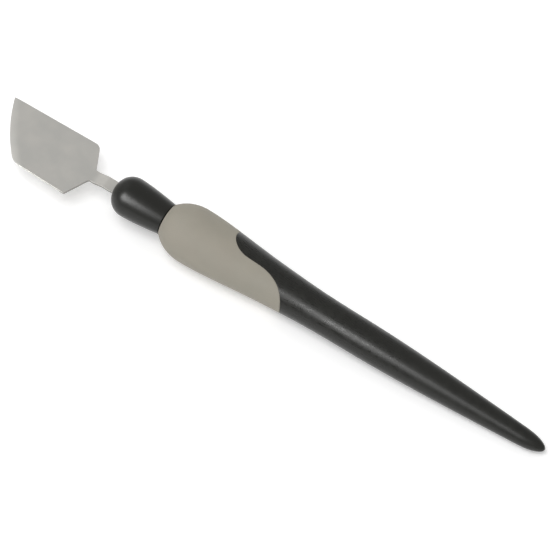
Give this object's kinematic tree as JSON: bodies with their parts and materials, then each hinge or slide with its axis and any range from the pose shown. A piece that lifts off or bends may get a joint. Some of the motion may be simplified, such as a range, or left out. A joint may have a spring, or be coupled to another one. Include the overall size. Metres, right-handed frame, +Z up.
{
  "type": "palette knife",
  "caption": "Palette knife with a short slant-tipped steel blade on a cranked neck, a black nose collar, a soft grey grip with an S-shaped edge and a long slim black tail.",
  "frame": {"origin": "centre of the knife's footprint on the table it lies on", "axes": "+X along the knife from blade to tail, +Y across the blade towards its pointed corner, +Z up from the table; the knife lies on its grip and tail, so its own axis dips 2.9 degrees towards the tail"},
  "size_m": [0.2026, 0.0204, 0.0188],
  "materials": {
    "spring_steel": "fine satin grind, uniform pale grey",
    "gloss_black": "smooth, semi-gloss moulded plastic",
    "satin_black": "satin, very fine spark texture",
    "soft_grey": "matte soft-touch elastomer, warm grey"
  },
  "bodies": {
    "handle": {"tang": "spring_steel", "nose_collar": "gloss_black", "handle_core": "satin_black", "grip_sleeve": "soft_grey"},
    "blade": {"blade": "spring_steel"}
  },
  "joints": [
    {"name": "blade_flex", "type": "hinge", "parent": "handle", "child": "blade", "pos_m": [-0.05948, 0.00021, 0.01106], "axis": [0, 1, 0], "range_deg": [-7, 7], "stiffness_Nm_per_rad": 6}
  ]
}
